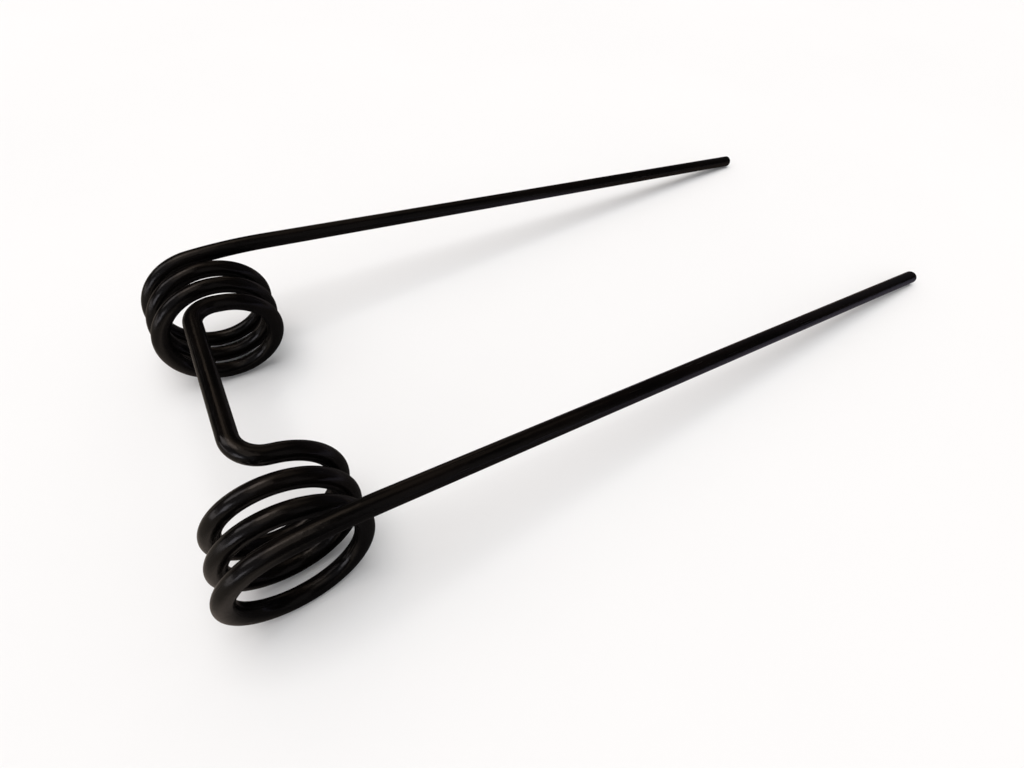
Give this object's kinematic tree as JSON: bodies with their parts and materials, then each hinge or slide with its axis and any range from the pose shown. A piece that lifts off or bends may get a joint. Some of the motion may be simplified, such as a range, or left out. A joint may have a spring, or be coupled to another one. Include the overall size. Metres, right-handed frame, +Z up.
{
  "type": "spring tine",
  "caption": "Spring tine bent from one round steel wire: a straight clamping bar between open coils, each running out into a long straight arm.",
  "frame": {"origin": "on the floor that the tine lies on, under the middle of its length and width", "axes": "+X runs from the coils towards the tips of the arms, +Y along the coils' axes towards the left-hand coil, +Z up with the tine lying on both coils and both tips; the two halves mirror each other about the plane Y = 0"},
  "size_m": [0.5428, 0.2196, 0.0775],
  "materials": {
    "black_wire": "thin satin black coat over drawn spring steel wire, with faint marks along the wire"
  },
  "bodies": {
    "root": {"tine_wire": "black_wire"}
  },
  "joints": []
}
